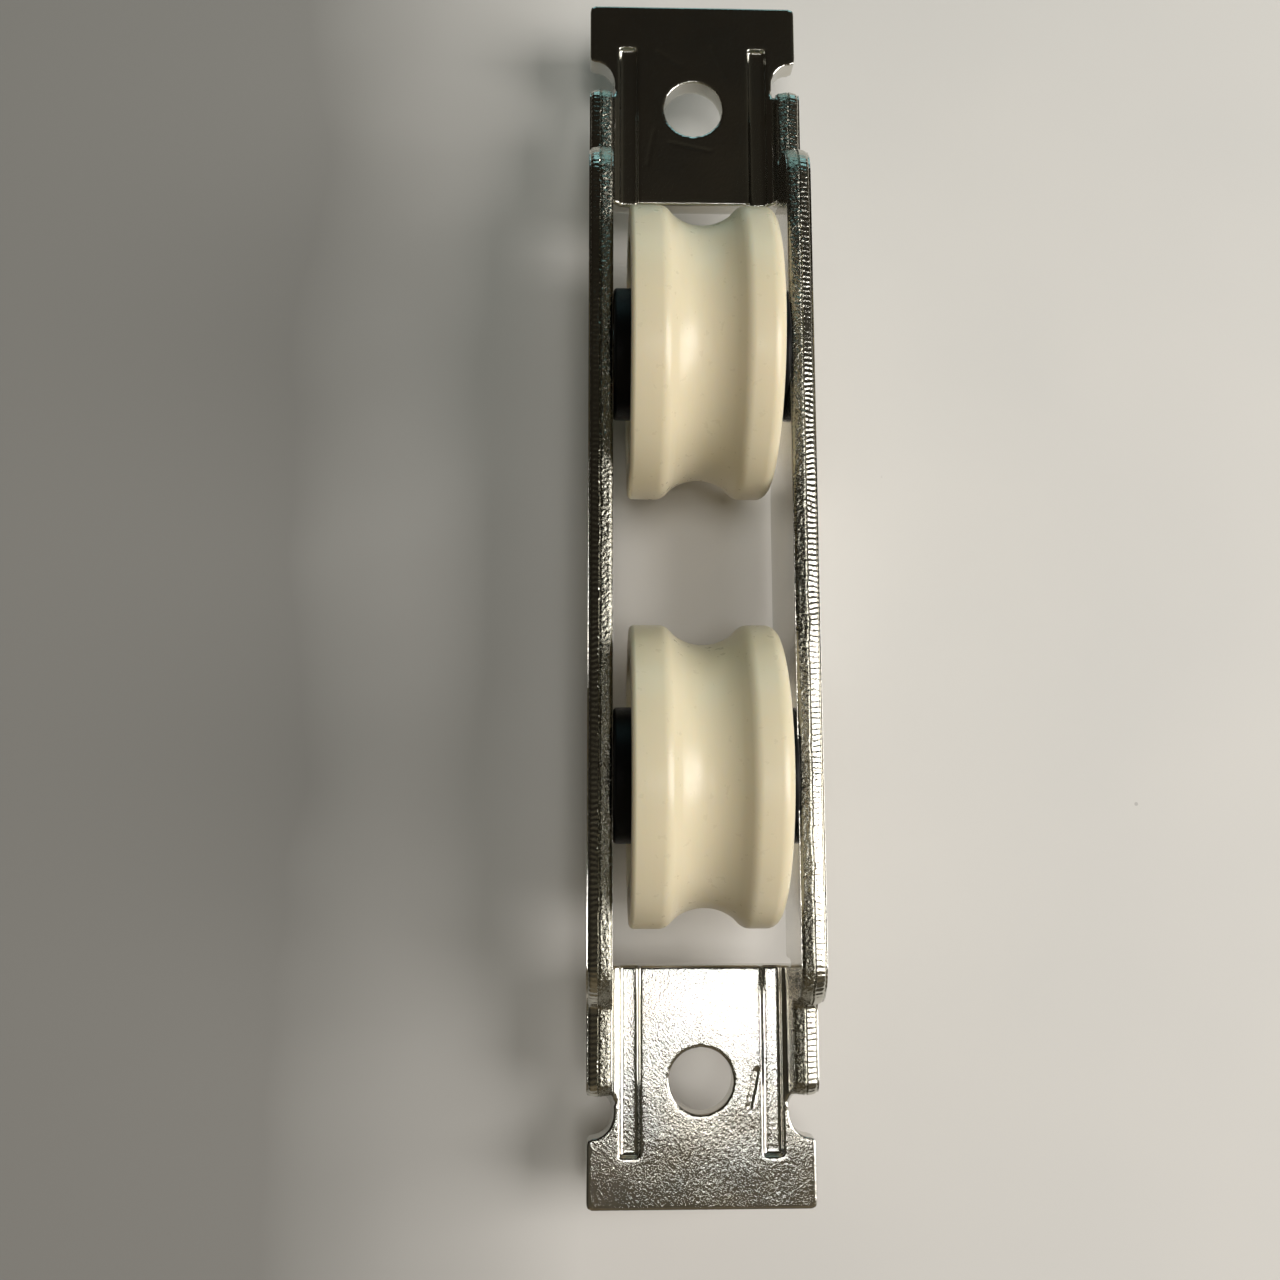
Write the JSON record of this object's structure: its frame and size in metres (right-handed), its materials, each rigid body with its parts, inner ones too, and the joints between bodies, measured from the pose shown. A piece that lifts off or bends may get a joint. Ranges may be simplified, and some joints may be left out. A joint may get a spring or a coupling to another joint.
{
  "type": "sliding door roller",
  "caption": "Tandem sliding door roller: grooved nylon wheels on ball bearings in a folded zinc-plated steel channel with a screw tab at each end.",
  "frame": {"origin": "on the floor midway between the wheels, where the unit stands on its wheels", "axes": "+Y along the frame, +X along the axles, +Z from the web's side with the screw tabs to the open side of the channel"},
  "size_m": [0.022, 0.1236, 0.0288],
  "materials": {
    "zinc_steel": "bright zinc plate, burnished and fractured sheared edges",
    "nylon": "cream moulded nylon, soft gloss",
    "axle_steel": "plain turned steel, peened ends",
    "bearing_steel": "ground and polished",
    "cage_steel": "pressed steel",
    "seal_rubber": "matt black",
    "black_plastic": "matt black moulded"
  },
  "bodies": {
    "frame": {"frame": "zinc_steel", "front_axle": "axle_steel", "front_bearing_inner_ring": "bearing_steel", "front_left_spacer": "black_plastic", "front_right_spacer": "black_plastic", "rear_axle": "axle_steel", "rear_bearing_inner_ring": "bearing_steel", "rear_left_spacer": "black_plastic", "rear_right_spacer": "black_plastic"},
    "front_wheel": {"front_wheel": "nylon", "front_bearing_outer_ring": "bearing_steel", "front_left_seal": "seal_rubber", "front_right_seal": "seal_rubber"},
    "front_cage": {"front_bearing_cage": "cage_steel", "front_bearing_ball_1": "bearing_steel", "front_bearing_ball_2": "bearing_steel", "front_bearing_ball_3": "bearing_steel", "front_bearing_ball_4": "bearing_steel", "front_bearing_ball_5": "bearing_steel", "front_bearing_ball_6": "bearing_steel", "front_bearing_ball_7": "bearing_steel"},
    "rear_wheel": {"rear_wheel": "nylon", "rear_bearing_outer_ring": "bearing_steel", "rear_left_seal": "seal_rubber", "rear_right_seal": "seal_rubber"},
    "rear_cage": {"rear_bearing_cage": "cage_steel", "rear_bearing_ball_1": "bearing_steel", "rear_bearing_ball_2": "bearing_steel", "rear_bearing_ball_3": "bearing_steel", "rear_bearing_ball_4": "bearing_steel", "rear_bearing_ball_5": "bearing_steel", "rear_bearing_ball_6": "bearing_steel", "rear_bearing_ball_7": "bearing_steel"}
  },
  "joints": [
    {"name": "front_wheel_spin", "type": "hinge", "parent": "frame", "child": "front_wheel", "pos_m": [0, -0.021, 0.0144], "axis": [1, 0, 0], "continuous": true},
    {"name": "front_cage_spin", "type": "hinge", "parent": "frame", "child": "front_cage", "pos_m": [0, -0.021, 0.0144], "axis": [1, 0, 0], "continuous": true},
    {"name": "rear_wheel_spin", "type": "hinge", "parent": "frame", "child": "rear_wheel", "pos_m": [0, 0.021, 0.0144], "axis": [1, 0, 0], "continuous": true},
    {"name": "rear_cage_spin", "type": "hinge", "parent": "frame", "child": "rear_cage", "pos_m": [0, 0.021, 0.0144], "axis": [1, 0, 0], "continuous": true}
  ],
  "couplings": [
    {"joint": "front_cage_spin", "follows": "front_wheel_spin", "ratio": 0.64},
    {"joint": "rear_cage_spin", "follows": "rear_wheel_spin", "ratio": 0.64}
  ]
}
